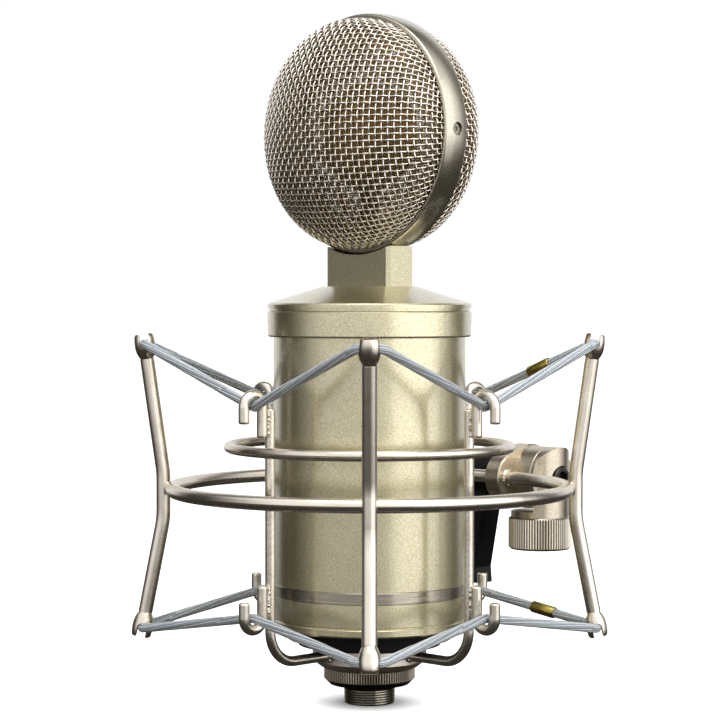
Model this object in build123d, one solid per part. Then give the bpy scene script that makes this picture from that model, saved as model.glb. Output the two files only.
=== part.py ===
from build123d import *

import os
from math import asin, cos, degrees, radians, sin, sqrt

# Large-diaphragm valve microphone, spoken to from the side, hung by two elastic loops inside
# a welded wire cage that tilts on a stand swivel.
#
# Millimetres, +Z up. The origin is the centre of the cable connector's open end, on the axis
# of the microphone. The microphone faces -Y, and the stand swivel is behind it, at +Y.

# ---- driving dimensions ---------------------------------------------------------------------

# head
HEAD_Z = 199.0  # centre of the head ring
RING_RADIUS = 42.0
RING_DEPTH = 10.5
RING_BEVEL = 0.9
LIP_RADIUS = 38.95  # mouth of the ring, where the grilles enter
SEAT_RADIUS = 36.5  # web that the two grilles are pushed against
SEAT_DEPTH = 3.0
SCREW_POCKET = 2.25
SCREW_DEPTH = 2.2
SCREW_SHANK = 1.1
WIRE_WAY = 4.0  # hole for the capsule's wires, from the head down to the body
DOME_HEIGHT = 24.0  # grille above the ring's lip
DOME_KNUCKLE = 14.0  # radius of the dome's shoulder
DOME_SKIRT = 2.0  # straight wall between the lip and the shoulder
GRILLE_WALL = 1.1
INNER_MESH_GAP = 0.15
INNER_MESH_WALL = 0.35
CAPSULE_RADIUS = 17.0
CAPSULE_DEPTH = 10.0
DIAPHRAGM_RADIUS = 13.6

# body
TUBE_RADIUS = 33.65
TUBE_WALL = 2.0
BASE_LOW, BASE_HIGH = 27.2, 30.0
TUBE_LOW, TUBE_HIGH = 30.5, 128.5
BAND_LOW, BAND_HIGH = 38.5, 42.7
COLLAR_RADIUS = 35.7
COLLAR_HIGH = 137.6
RIM_LOW, RIM_HIGH = 138.4, 140.2
CONE_RADIUS, CONE_HIGH = 16.5, 146.0
NECK_WIDTH, NECK_DEPTH = 31.0, 13.0
NECK_BEVEL = 1.1

# inside the body
RAIL_X = 25.5
CHASSIS_LOW, CHASSIS_HIGH = 34.0, 132.0
BOARD_FRONT = 2.0

# cable connector, and the ring that locks the cage to it
SHELL_RADIUS = 8.95  # where the sleeve of the cable goes
SHELL_STEP = 6.5
THREAD_RADIUS = 9.3  # above the step, under the lock ring, the disc and the body
SHELL_BORE = 7.2
INSERT_LOW = 5.0
PIN_COUNT = 7
PIN_CIRCLE = 4.6
PIN_RADIUS = 0.6
LOCK_LOW, LOCK_HIGH = 6.9, 13.0
LOCK_RADIUS = 15.95
LOCK_TEETH = 104
DISC_LOW, DISC_HIGH = 13.1, 20.9
DISC_RADIUS = 20.0
PAD_RADIUS = 25.0

# inner cage
POST_WIRE = 1.75
POST_CIRCLE = 47.2
POST_HIGH = 104.7
ARM_Z = 18.6
ARM_BEND = 11.0
INNER_RING_CIRCLE = 49.2
INNER_RING_WIRE = 1.8
INNER_RING_Z = 90.0
HOOK_WIRE = 1.85
HOOK_BEND = 4.1
HOOK_CIRCLE = POST_CIRCLE + POST_WIRE + HOOK_WIRE + HOOK_BEND  # where the cord passes
UPPER_HOOK_Z = 105.5  # centre of the bend
LOWER_HOOK_Z = 35.15
HOOK_SHORT_LEG = 5.45
HOOK_LONG_LEG = 10.35

# outer cage
CAGE_WIRE = 2.5
CAGE_RING_WIRE = 2.4
CAGE_RING_CIRCLE = 69.0
CAGE_RING_Z = 75.4
CAGE_POST_CIRCLE = 72.3
CAGE_BEND = 35.0
UPPER_END = (77.9, 120.6)  # radius and height of the post's upper end
LOWER_END = (78.7, 32.0)
UPPER_KINK_Z, LOWER_KINK_Z = 81.0, 65.0
TIP_NECK = 0.8
TIP_LENGTH = 8.2
TIP_RADIUS = 3.4
SLOT_WIDTH = 3.8
SLOT_FLOOR = 4.8  # middle of the slot's rounded floor, from the post side of the tip

# elastic cord
CORD = 1.6
CORD_GAP = 0.3
CRIMP_RADIUS = 2.1
CRIMP_LENGTH = 10.0

# stand swivel, whose tilt axis runs along X
TILT_Y, TILT_Z = 82.9, 75.2
LUG_HALF = 3.5
LUG_EYE = 12.1
LUG_NOSE, LUG_REACH = 9.0, 10.2
KNUCKLE_RADIUS = 11.4
KNUCKLE_FACE = 12.1
EAR_FACE = 12.2
EAR_SEAT = 14.6
EAR_POCKET = 4.6
BARREL_X = 7.3
BARREL_RADIUS = 10.75
SHOULDER_Z = 62.6
SPIGOT_RADIUS = 8.93
SPIGOT_LOW = 56.8
STAND_LOW, STAND_HIGH = 48.3, 60.3
STAND_RADIUS = 11.75
STAND_THREAD = 7.45
STAND_TEETH = 70
RETAINER = (58.0, 58.9)
BOLT = 3.0
BOLT_END = -13.5
RUNNING = 0.07

# clamp lever
NUT_FACE, NUT_END = -4.75, -16.0
NUT_RADIUS = 4.9
NUT_TEETH = 12
TEETH_FACE = -13.4  # where the nut's teeth begin
LEVER_OPEN, LEVER_END = -8.5, -25.0
LEVER_RADIUS = 8.0
WEB_HIGH, WEB_LOW = -16.6, -17.8
SCREW_HEAD_X = -22.5
LEVER_FOOT_Z = 33.0

AXES = (0, 90, 180, 270)
DIAGONALS = (45, 135, 225, 315)

# how a block or cylinder sits on its own place: standing on it, or hanging from it
UP = (Align.CENTER, Align.CENTER, Align.MIN)
DOWN = (Align.CENTER, Align.CENTER, Align.MAX)


# ---- helpers --------------------------------------------------------------------------------

def turned(*points):
    """A solid turned about Z from an outline of (radius, height) points."""
    return revolve(Plane.XZ * make_face(Polyline(*points, close=True)), axis=Axis.Z)


def tube(outer, inner, low, high):
    return turned((inner, low), (outer, low), (outer, high), (inner, high))


def facing_front(shape):
    """Lays a shape turned about Z on the head's axis, with its top towards the front."""
    return Pos(0, 0, HEAD_Z) * Rot(90, 0, 0) * shape


def on_tilt_axis(shape):
    """Lays a shape turned about Z on the tilt axis, with its top towards +X."""
    return Pos(0, TILT_Y, TILT_Z) * Rot(0, 90, 0) * shape


def wire(points, bends, radius):
    """Round wire along straight runs joined by tangent bends."""
    path = FilletPolyline(*points, radius=bends)
    return sweep(Plane(path @ 0, z_dir=path % 0) * Circle(radius), path=path)


def knurled(body, radius, teeth, height):
    """Cuts straight V-shaped teeth round a turned body."""
    half = 180 / teeth
    points = []
    for n in range(teeth):
        points.append(polar(radius + 0.1, 2 * n * half, 0))
        points.append(polar(radius - 0.4, (2 * n + 1) * half, 0))
    return body & extrude(make_face(Polyline(*points, close=True)), height)


def round_ends(rod, ends, size):
    """Breaks the sharp edge at the cut ends of a wire."""
    rims = rod.edges().filter_by(GeomType.CIRCLE)
    cut = [min(rims, key=lambda rim: (rim.arc_center - Vector(*end)).length) for end in ends]
    return fillet(cut, size)


def polar(radius, angle, z):
    return (radius * cos(radians(angle)), radius * sin(radians(angle)), z)


def around(shape, angles):
    return [Rot(0, 0, angle) * shape for angle in angles]


def save(name, *shapes):
    solids = [solid for shape in shapes for solid in shape.solids()]
    shape = solids[0] if len(solids) == 1 else Compound(children=solids)
    shape.label = name
    export_step(shape, f"parts/{name}.step")


# ---- head -----------------------------------------------------------------------------------

def head_ring():
    half = RING_DEPTH / 2
    flat = half - RING_BEVEL
    seat = SEAT_DEPTH / 2
    ring = facing_front(turned(
        (SEAT_RADIUS, -seat), (LIP_RADIUS, -seat), (LIP_RADIUS, -half),
        (RING_RADIUS - RING_BEVEL, -half), (RING_RADIUS, -flat),
        (RING_RADIUS, flat), (RING_RADIUS - RING_BEVEL, half),
        (LIP_RADIUS, half), (LIP_RADIUS, seat), (SEAT_RADIUS, seat),
    ))
    for side in (-1, 1):
        across = Pos(side * RING_RADIUS, 0, HEAD_Z) * Rot(0, 90, 0)
        ring -= across * Cylinder(SCREW_POCKET, 2 * SCREW_DEPTH)
        ring -= across * Cylinder(SCREW_SHANK, 14)
    wire_way = Pos(0, 0, HEAD_Z - RING_RADIUS + 3) * Cylinder(WIRE_WAY, 12)
    return ring - wire_way


def head_screws():
    """Two small socket screws sunk in the ring at the height of its centre."""
    screws = []
    for side in (0, 180):
        head = Cylinder(SCREW_POCKET - 0.2, 1.3, align=DOWN)
        shank = Cylinder(SCREW_SHANK, 3.2, align=DOWN)
        socket = Pos(0, 0, -0.4) * extrude(RegularPolygon(0.85, 6), 1)
        screw = head + Pos(0, 0, -1.3) * shank - socket
        seat = RING_RADIUS - SCREW_DEPTH + 1.3
        screws.append(Pos(0, 0, HEAD_Z) * Rot(0, 0, side) * Pos(seat, 0, 0) * Rot(0, 90, 0) * screw)
    return screws


def dome_line(base, height, knuckle):
    """Pressed dome from its skirt up to its middle: a shoulder arc, then a flatter crown arc."""
    shoulder = Vector(base - knuckle, DOME_SKIRT)
    drop = height - DOME_SKIRT
    crown = (drop ** 2 + shoulder.X ** 2 - knuckle ** 2) / (2 * (drop - knuckle))
    middle = Vector(0, height - crown)
    meet = (shoulder - middle).normalized()
    halfway = (meet + Vector(1, 0)).normalized()
    flatter = (meet + Vector(0, 1)).normalized()
    joint = shoulder + meet * knuckle
    return [
        ThreePointArc((base, DOME_SKIRT), shoulder + halfway * knuckle, joint),
        ThreePointArc(joint, middle + flatter * crown, (0, height)),
    ]


def dome(inset, wall, rim):
    """Thin domed cap with a straight rim, open towards -Z, lying inset inside the grilles' outer face."""
    sides = []
    for depth in (inset, inset + wall):
        base, height = LIP_RADIUS - 0.05 - depth, DOME_HEIGHT - depth
        sides.append((base, height, dome_line(base, height, DOME_KNUCKLE - depth)))
    (base, height, outer_line), (inner_base, inner_height, inner_line) = sides
    outline = [
        Line((base, -rim), (base, DOME_SKIRT)),
        *outer_line,
        Line((0, height), (0, inner_height)),
        *inner_line,
        Line((inner_base, DOME_SKIRT), (inner_base, -rim)),
        Line((inner_base, -rim), (base, -rim)),
    ]
    return revolve(Plane.XZ * make_face(outline), axis=Axis.Z)


def grille(side, inset, wall):
    """One half of the head's cover, or of the mesh inside it. side is 1 at the front, -1 at the back."""
    foot = RING_DEPTH / 2
    cap = Pos(0, 0, foot) * dome(inset, wall, foot - SEAT_DEPTH / 2 - 0.05)
    return facing_front(cap if side == 1 else Rot(180, 0, 0) * cap)


def capsule_body():
    """Double backplate with its rim of clamp screw holes left to the two clamp rings."""
    half = CAPSULE_DEPTH / 2
    body = turned(
        (0, -half + 1.2), (DIAPHRAGM_RADIUS - 0.6, -half + 1.2), (DIAPHRAGM_RADIUS - 0.6, -half),
        (CAPSULE_RADIUS, -half), (CAPSULE_RADIUS, -1.2), (CAPSULE_RADIUS - 1.2, -1.2),
        (CAPSULE_RADIUS - 1.2, 1.2), (CAPSULE_RADIUS, 1.2), (CAPSULE_RADIUS, half),
        (DIAPHRAGM_RADIUS - 0.6, half), (DIAPHRAGM_RADIUS - 0.6, half - 1.2), (0, half - 1.2),
    )
    return facing_front(body)


def diaphragm(side):
    """Stretched gold film on its support ring, with the centre contact."""
    half = CAPSULE_DEPTH / 2
    film = tube(DIAPHRAGM_RADIUS - 0.6, 1.6, half - 0.35, half)
    contact = turned(
        (0, half - 1.2), (1.6, half - 1.2), (1.6, half + 0.5), (0.8, half + 1.1), (0, half + 1.1))
    shape = film + contact
    return facing_front(shape if side == 1 else Rot(180, 0, 0) * shape)


def clamp_ring(side):
    """Ring that holds a film down, with its circle of screw heads."""
    half = CAPSULE_DEPTH / 2
    ring = tube(CAPSULE_RADIUS, DIAPHRAGM_RADIUS, half, half + 1.4)
    screw_circle = (CAPSULE_RADIUS + DIAPHRAGM_RADIUS) / 2
    head = Pos(0, 0, half + 1.4) * Cylinder(1.0, 0.5, align=UP)
    for place in PolarLocations(screw_circle, 12):
        ring += place * head
    return facing_front(ring if side == 1 else Rot(180, 0, 0) * ring)


def capsule_saddle():
    """Insulating post that stands in the neck and cradles the capsule's waist."""
    foot = HEAD_Z - RING_RADIUS - 8
    post = Pos(0, 0, foot) * Cylinder(WIRE_WAY - 0.1, 6, align=UP)
    blade = Pos(0, 0, foot) * Box(6, 2.8, RING_RADIUS, align=UP)
    blade -= facing_front(Cylinder(CAPSULE_RADIUS, 12))
    cradle = facing_front(tube(CAPSULE_RADIUS + 2.2, CAPSULE_RADIUS, -2.2, 2.2))
    cradle &= Pos(0, 0, HEAD_Z - CAPSULE_RADIUS) * Box(40, 10, 14)
    return post + blade + cradle


# ---- body -----------------------------------------------------------------------------------

def neck_block():
    block = extrude(Rectangle(NECK_WIDTH, NECK_DEPTH), HEAD_Z - RING_RADIUS + 6 - CONE_HIGH)
    block = chamfer(block.edges().filter_by(Axis.Z), NECK_BEVEL)
    ring_seat = facing_front(Cylinder(RING_RADIUS, NECK_DEPTH * 3))
    return Pos(0, 0, CONE_HIGH) * block - ring_seat - Pos(0, 0, CONE_HIGH) * Cylinder(WIRE_WAY, 60)


def top_cap():
    """Conical cap, hollow underneath between its middle boss and its spigot."""
    return turned(
        (WIRE_WAY, CHASSIS_HIGH + 2), (8, CHASSIS_HIGH + 2), (8, CONE_HIGH - 4),
        (CONE_RADIUS - 1, CONE_HIGH - 4), (27.5, COLLAR_HIGH), (27.5, CHASSIS_HIGH + 2),
        (29.5, CHASSIS_HIGH + 2), (29.5, COLLAR_HIGH),
        (COLLAR_RADIUS - 0.6, COLLAR_HIGH), (COLLAR_RADIUS - 0.6, RIM_LOW), (COLLAR_RADIUS, RIM_LOW),
        (COLLAR_RADIUS, RIM_HIGH - 0.5), (COLLAR_RADIUS - 0.5, RIM_HIGH), (CONE_RADIUS, CONE_HIGH),
        (WIRE_WAY, CONE_HIGH),
    )


def cap_collar():
    spigot = TUBE_RADIUS - TUBE_WALL
    return turned(
        (29.5, TUBE_HIGH - 6), (spigot, TUBE_HIGH - 6), (spigot, TUBE_HIGH),
        (COLLAR_RADIUS - 0.6, TUBE_HIGH),
        (COLLAR_RADIUS, TUBE_HIGH + 0.6), (COLLAR_RADIUS, COLLAR_HIGH - 0.5),
        (COLLAR_RADIUS - 0.5, COLLAR_HIGH), (29.5, COLLAR_HIGH),
    )


def body_tube():
    inner = TUBE_RADIUS - TUBE_WALL
    groove = TUBE_RADIUS - 0.8
    return turned(
        (inner, TUBE_LOW), (TUBE_RADIUS - 0.3, TUBE_LOW), (TUBE_RADIUS, TUBE_LOW + 0.3),
        (TUBE_RADIUS, BAND_LOW), (groove, BAND_LOW), (groove, BAND_HIGH), (TUBE_RADIUS, BAND_HIGH),
        (TUBE_RADIUS, TUBE_HIGH), (inner, TUBE_HIGH),
    )


def trim_band():
    inner, outer = TUBE_RADIUS - 0.8, TUBE_RADIUS + 0.1
    return turned(
        (inner, BAND_LOW), (outer - 0.25, BAND_LOW), (outer, BAND_LOW + 0.25),
        (outer, BAND_HIGH - 0.25), (outer - 0.25, BAND_HIGH), (inner, BAND_HIGH),
    )


def base_cap():
    """Bottom of the body, with a groove below the tube and a spigot up inside it."""
    spigot = TUBE_RADIUS - TUBE_WALL
    return turned(
        (THREAD_RADIUS, BASE_LOW), (TUBE_RADIUS - 0.6, BASE_LOW), (TUBE_RADIUS, BASE_LOW + 0.6),
        (TUBE_RADIUS, BASE_HIGH - 0.3), (TUBE_RADIUS - 0.3, BASE_HIGH), (TUBE_RADIUS - 1, BASE_HIGH),
        (TUBE_RADIUS - 1, TUBE_LOW), (spigot, TUBE_LOW), (spigot, TUBE_LOW + 5.5),
        (spigot - 1.6, TUBE_LOW + 5.5), (spigot - 1.6, TUBE_LOW + 0.6), (THREAD_RADIUS, TUBE_LOW + 0.6),
    )


def base_pad():
    """Black rubber pad between the body and the cage's disc."""
    return tube(PAD_RADIUS, THREAD_RADIUS, DISC_HIGH, BASE_LOW)


# ---- inside the body ------------------------------------------------------------------------

def chassis_frame():
    """Two upright rails joined by a plate at each end."""
    frame = tube(29.0, 11.0, CHASSIS_LOW, CHASSIS_LOW + 2)
    frame += tube(29.0, 6.0, CHASSIS_HIGH, CHASSIS_HIGH + 2)
    for side in (-1, 1):
        rail = Box(4, 9, CHASSIS_HIGH - CHASSIS_LOW, align=UP)
        frame += Pos(side * RAIL_X, 0, CHASSIS_LOW) * rail
    return frame


def circuit_board():
    height = CHASSIS_HIGH - CHASSIS_LOW - 9
    width = 2 * RAIL_X - 4
    return Pos(0, BOARD_FRONT, CHASSIS_LOW + 5) * Box(
        width, 1.6, height, align=(Align.CENTER, Align.MIN, Align.MIN))


def capacitors():
    """Film capacitors that stand on the back of the board."""
    row = []
    for x, z, radius in ((-11, 118, 4.5), (0, 118, 4.5), (11, 118, 4.5), (-9, 100, 6), (8, 100, 6)):
        row.append(Pos(x, BOARD_FRONT + 1.6, z) * Rot(-90, 0, 0) * Cylinder(
            radius, 14, align=UP))
    return row


def valve():
    """Small glass valve with its rounded top and pinched tip."""
    return Pos(0, -13, 72) * turned(
        (0, 0), (8.5, 0), (9.5, 1.5), (9.5, 30), (8.0, 35),
        (4.0, 38.5), (1.4, 39.5), (1.0, 42.5), (0, 43),
    )


def valve_socket():
    socket = Pos(0, -13, 64) * Cylinder(11, 8, align=UP)
    tab = Pos(0, -6.5, 66) * Box(14, 17, 4, align=UP)
    keep = Pos(0, BOARD_FRONT - 20, 64) * Box(60, 40, 30)
    return (socket + tab) & keep


def output_transformer():
    """Laminated core with the winding bobbin through its middle."""
    core = Pos(0, -11, 40) * Box(30, 16, 22, align=UP)
    bobbin = Pos(0, -11, 43.5) * Box(20, 24, 15, align=UP)
    bobbin = fillet(bobbin.edges().filter_by(Axis.Z), 3)
    keep = Pos(0, BOARD_FRONT - 20, 50) * Box(60, 39.8, 60)
    return (core + bobbin) & keep


# ---- cable connector ------------------------------------------------------------------------

def connector_shell():
    """Barrel of the cable connector, flanged inside the body and keyed for the plug."""
    flange_low, flange_high = TUBE_LOW + 0.6, TUBE_LOW + 2.4
    flange = THREAD_RADIUS + 2.5
    shell = turned(
        (SHELL_BORE + 0.3, 0), (SHELL_RADIUS, 0), (SHELL_RADIUS, SHELL_STEP),
        (THREAD_RADIUS, SHELL_STEP), (THREAD_RADIUS, flange_low),
        (flange, flange_low), (flange, flange_high),
        (SHELL_BORE, flange_high), (SHELL_BORE, 0.3),
    )
    key_size = (1.8, 1.0, INSERT_LOW - 0.6)
    key = Pos(0, SHELL_BORE - 0.3, 0.6) * Box(*key_size, align=UP)
    return shell + key


def pin_places():
    """Pins evenly spaced round the socket, with none at its centre."""
    return [Pos(*polar(PIN_CIRCLE, 90 + 360 / PIN_COUNT * (n + 0.5), 0)) for n in range(PIN_COUNT)]


def connector_insert():
    insert = Pos(0, 0, INSERT_LOW) * Cylinder(SHELL_BORE, 7, align=UP)
    for place in pin_places():
        insert -= place * Cylinder(PIN_RADIUS, 40)
    return insert


def connector_pins():
    pin = turned((0, 1.5), (PIN_RADIUS - 0.3, 1.5), (PIN_RADIUS, 1.9), (PIN_RADIUS, 14), (0, 14))
    return [place * pin for place in pin_places()]


def lock_ring():
    """Knurled ring that clamps the cage's disc against the body."""
    bore = THREAD_RADIUS + RUNNING
    body = turned(
        (bore, LOCK_LOW), (LOCK_RADIUS - 2.0, LOCK_LOW), (LOCK_RADIUS, LOCK_LOW + 2.0),
        (LOCK_RADIUS, LOCK_HIGH - 0.5), (LOCK_RADIUS - 0.5, LOCK_HIGH), (bore, LOCK_HIGH),
    )
    return knurled(body, LOCK_RADIUS, LOCK_TEETH, LOCK_HIGH)


# ---- inner cage -----------------------------------------------------------------------------

def inner_post(angle):
    """Upright wire whose foot bends in to the disc."""
    inner_end = DISC_RADIUS - 3
    top = (POST_CIRCLE, 0, POST_HIGH)
    rod = wire([(inner_end, 0, ARM_Z), (POST_CIRCLE, 0, ARM_Z), top], [ARM_BEND], POST_WIRE)
    return Rot(0, 0, angle) * round_ends(rod, [top], 0.8)


def inner_ring(posts):
    ring = Pos(0, 0, INNER_RING_Z) * Torus(INNER_RING_CIRCLE, INNER_RING_WIRE)
    for post in posts:
        ring -= post
    return ring


def cage_disc(posts):
    """Disc that carries the four posts, slipped over the connector."""
    bore = THREAD_RADIUS + 0.05
    disc = turned(
        (bore, DISC_LOW), (DISC_RADIUS - 3.0, DISC_LOW), (DISC_RADIUS, DISC_LOW + 2.3),
        (DISC_RADIUS, DISC_HIGH - 0.6), (DISC_RADIUS - 0.6, DISC_HIGH), (bore, DISC_HIGH),
    )
    for post in posts:
        disc -= post
    return disc


def hook(angle, bend_z, way):
    """U-shaped wire against the outside of a post. way is 1 where the bend is uppermost."""
    inside = HOOK_CIRCLE - HOOK_BEND
    outside = HOOK_CIRCLE + HOOK_BEND
    peak = bend_z + way * HOOK_BEND
    short_end = (outside, 0, bend_z - way * HOOK_SHORT_LEG)
    long_end = (inside, 0, bend_z - way * HOOK_LONG_LEG)
    bend = HOOK_BEND - 0.01
    rod = wire([short_end, (outside, 0, peak), (inside, 0, peak), long_end], [bend, bend], HOOK_WIRE)
    return Rot(0, 0, angle) * round_ends(rod, [short_end, long_end], 0.8)


# ---- outer cage -----------------------------------------------------------------------------

def end_frame(end, kink_z):
    """End of a post in the post's own plane: where it is, and which way it points."""
    end = Vector(end[0], 0, end[1])
    return end, (end - Vector(CAGE_POST_CIRCLE, 0, kink_z)).normalized()


def outer_post(angle):
    """Post bent outwards above and below, with a stud at each end for its tip."""
    upper, upper_way = end_frame(UPPER_END, UPPER_KINK_Z)
    lower, lower_way = end_frame(LOWER_END, LOWER_KINK_Z)
    kinks = [(CAGE_POST_CIRCLE, 0, UPPER_KINK_Z), (CAGE_POST_CIRCLE, 0, LOWER_KINK_Z)]
    rod = wire([upper, *kinks, lower], [CAGE_BEND, CAGE_BEND], CAGE_WIRE)
    stud = Cylinder(1.5, TIP_NECK + 1.6, align=UP)
    for end, way in ((upper, upper_way), (lower, lower_way)):
        rod += Plane(end, z_dir=way) * stud
    return Rot(0, 0, angle) * rod


def slotted_tip(end, kink_z):
    """Barrel screwed on the end of a post, slotted across for the cord."""
    point, way = end_frame(end, kink_z)
    rim = TIP_RADIUS - 0.75
    barrel = turned(
        (0, 1.6), (1.5, 1.6), (1.5, 0), (rim - 0.3, 0), (rim, 0.4),
        (TIP_RADIUS, TIP_LENGTH * 0.42), (TIP_RADIUS, TIP_LENGTH * 0.58),
        (rim, TIP_LENGTH - 0.4), (rim - 0.3, TIP_LENGTH), (0, TIP_LENGTH),
    )
    floor = Pos(0, 0, SLOT_FLOOR)
    slot = floor * Rot(90, 0, 0) * Cylinder(SLOT_WIDTH / 2, 20)
    slot += floor * Box(SLOT_WIDTH, 20, 20, align=UP)
    return Plane(point + way * TIP_NECK, x_dir=(way.Z, 0, -way.X), z_dir=way) * (barrel - slot)


def lug_plate():
    """Upright plate let into the cage ring, pierced for the clamp bolt."""
    outline = make_hull(Circle(LUG_EYE).edges() + (Pos(LUG_REACH, 0) * Circle(LUG_NOSE)).edges())
    plate = extrude(outline, 2 * LUG_HALF)
    faces = plate.faces().sort_by(Axis.Z)
    plate = chamfer(faces[0].edges() + faces[-1].edges(), 0.5)
    plate -= Cylinder(BOLT + RUNNING, 40)
    return Pos(-LUG_HALF, TILT_Y, TILT_Z) * Rot(0, 90, 0) * Rot(0, 0, -90) * plate


def knuckle():
    """Round boss welded to the lug, which turns against the swivel's ear."""
    bore = BOLT + RUNNING
    return on_tilt_axis(turned(
        (bore, LUG_HALF), (KNUCKLE_RADIUS, LUG_HALF), (KNUCKLE_RADIUS, KNUCKLE_FACE - 0.4),
        (KNUCKLE_RADIUS - 0.4, KNUCKLE_FACE), (bore, KNUCKLE_FACE),
    ))


def outer_ring(lug):
    """Ring coped round the posts, and let into the lug."""
    ring = Pos(0, 0, CAGE_RING_Z) * Torus(CAGE_RING_CIRCLE, CAGE_RING_WIRE)
    for angle in DIAGONALS:
        ring -= Rot(0, 0, angle) * Pos(CAGE_POST_CIRCLE, 0, CAGE_RING_Z) * Cylinder(CAGE_WIRE, 8)
    return ring - lug


# ---- elastic loops --------------------------------------------------------------------------

def loop_points(end, kink_z, hook_z, way):
    """Corners of one elastic loop: one at each hook, and two at each tip."""
    point, lean = end_frame(end, kink_z)
    slot = point + lean * (TIP_NECK + SLOT_FLOOR)
    under_bend = HOOK_BEND - HOOK_WIRE - CORD_GAP - CORD
    hook_corner = hook_z + way * (under_bend - 0.21)
    points = []
    for n in range(4):
        points.append(polar(HOOK_CIRCLE, 90 * n, hook_corner))
        x, y, _ = polar(slot.X, 90 * n + 45, 0)
        dx, dy, _ = polar(4.0, 90 * n + 135, 0)
        points.append((x - dx, y - dy, slot.Z))
        points.append((x + dx, y + dy, slot.Z))
    return points


def elastic_loop(points):
    hook_bend = HOOK_WIRE + CORD + CORD_GAP
    path = FilletPolyline(*points, radius=[hook_bend, 4.4, 4.4] * 4, close=True)
    return sweep(Plane(path @ 0, z_dir=path % 0) * Circle(CORD), path=path)


def crimp(points, share):
    """Ferrule that joins the loop's two ends, on the span from the +X+Y tip to the +Y hook."""
    tip_side = Vector(*points[2])
    hook_side = Vector(*points[3])
    along = (hook_side - tip_side).normalized()
    middle = tip_side + (hook_side - tip_side) * share
    sleeve = turned(
        (CORD, 0), (CRIMP_RADIUS - 0.3, 0), (CRIMP_RADIUS, 0.4), (CRIMP_RADIUS, CRIMP_LENGTH - 0.4),
        (CRIMP_RADIUS - 0.3, CRIMP_LENGTH), (CORD, CRIMP_LENGTH),
    )
    return Plane(middle - along * (CRIMP_LENGTH / 2), z_dir=along) * sleeve


# ---- stand swivel ---------------------------------------------------------------------------

def swivel_body():
    """Upright barrel whose top is cut to a flat-faced ear, rounded about the tilt axis."""
    low = STAND_HIGH + 0.1
    body = Pos(BARREL_X, TILT_Y, low) * Cylinder(BARREL_RADIUS, TILT_Z + KNUCKLE_RADIUS - low, align=UP)
    round_top = on_tilt_axis(Cylinder(KNUCKLE_RADIUS, 60))
    below = Pos(0, TILT_Y, TILT_Z) * Box(80, 60, 60, align=DOWN)
    body &= round_top + below
    inside = (Align.MAX, Align.CENTER, Align.MIN)
    body -= Pos(EAR_FACE, TILT_Y, SHOULDER_Z) * Box(40, 60, 60, align=inside)
    body += Pos(EAR_FACE, 0, 0) * on_tilt_axis(Cylinder(KNUCKLE_RADIUS, 1.3, align=UP))
    body += Pos(BARREL_X, TILT_Y, 0) * turned(
        (0, SPIGOT_LOW), (SPIGOT_RADIUS - 0.5, SPIGOT_LOW), (SPIGOT_RADIUS, SPIGOT_LOW + 0.5),
        (SPIGOT_RADIUS, RETAINER[0]), (SPIGOT_RADIUS - 0.5, RETAINER[0]),
        (SPIGOT_RADIUS - 0.5, RETAINER[1]), (SPIGOT_RADIUS, RETAINER[1]),
        (SPIGOT_RADIUS, low), (0, low),
    )
    body -= on_tilt_axis(Cylinder(BOLT, 80))
    return body - Pos(EAR_SEAT, 0, 0) * on_tilt_axis(Cylinder(EAR_POCKET, 20, align=UP))


def clamp_bolt():
    """Black socket screw, held from turning in the ear, that the lever's nut pulls on."""
    head = Cylinder(EAR_POCKET - 0.4, 3.8, align=UP)
    head = chamfer(head.edges().sort_by(Axis.Z)[-1], 0.4)
    socket = Pos(0, 0, 1.6) * extrude(RegularPolygon(2.5, 6, major_radius=False), 5)
    shank = Cylinder(BOLT, EAR_SEAT - BOLT_END, align=DOWN)
    return Pos(EAR_SEAT, 0, 0) * on_tilt_axis(head - socket + shank)


def thrust_washer():
    return on_tilt_axis(tube(6.0, BOLT + RUNNING, NUT_FACE + 0.05, -LUG_HALF))


def stand_collar():
    """Knurled nut that screws on the stand and turns freely on the swivel's spigot."""
    bore = SPIGOT_RADIUS + RUNNING
    groove = bore + 0.55
    body = turned(
        (STAND_THREAD, STAND_LOW), (STAND_RADIUS - 0.8, STAND_LOW), (STAND_RADIUS, STAND_LOW + 0.8),
        (STAND_RADIUS, STAND_HIGH - 0.6), (STAND_RADIUS - 0.6, STAND_HIGH), (bore, STAND_HIGH),
        (bore, RETAINER[1]), (groove, RETAINER[1]), (groove, RETAINER[0]), (bore, RETAINER[0]),
        (bore, SPIGOT_LOW - 0.1), (STAND_THREAD, SPIGOT_LOW - 0.1),
    )
    return Pos(BARREL_X, TILT_Y, 0) * knurled(body, STAND_RADIUS, STAND_TEETH, STAND_HIGH)


def retaining_ring():
    """Split wire ring that keeps the collar on the spigot."""
    outer, inner = SPIGOT_RADIUS + RUNNING + 0.55, SPIGOT_RADIUS - 0.43
    ring = tube(outer, inner, RETAINER[0] + 0.05, RETAINER[1] - 0.05)
    gap = Pos(0, SPIGOT_RADIUS, RETAINER[0]) * Box(3, 8, 8)
    return Pos(BARREL_X, TILT_Y, 0) * (ring - gap)


# ---- clamp lever ----------------------------------------------------------------------------

def toothed_round(slack):
    """Section of the nut's toothed end."""
    shape = Circle(NUT_RADIUS - 0.7 + slack)
    for place in PolarLocations(0, NUT_TEETH):
        shape += place * Pos(NUT_RADIUS - 0.9, 0) * Rectangle(1.8 + 2 * slack, 1.1 + 2 * slack)
    return shape


def along_tilt(section, start, end):
    """A section drawn about the tilt axis, carried along it between two places."""
    return Pos(end, 0, 0) * on_tilt_axis(extrude(section, start - end))


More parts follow.
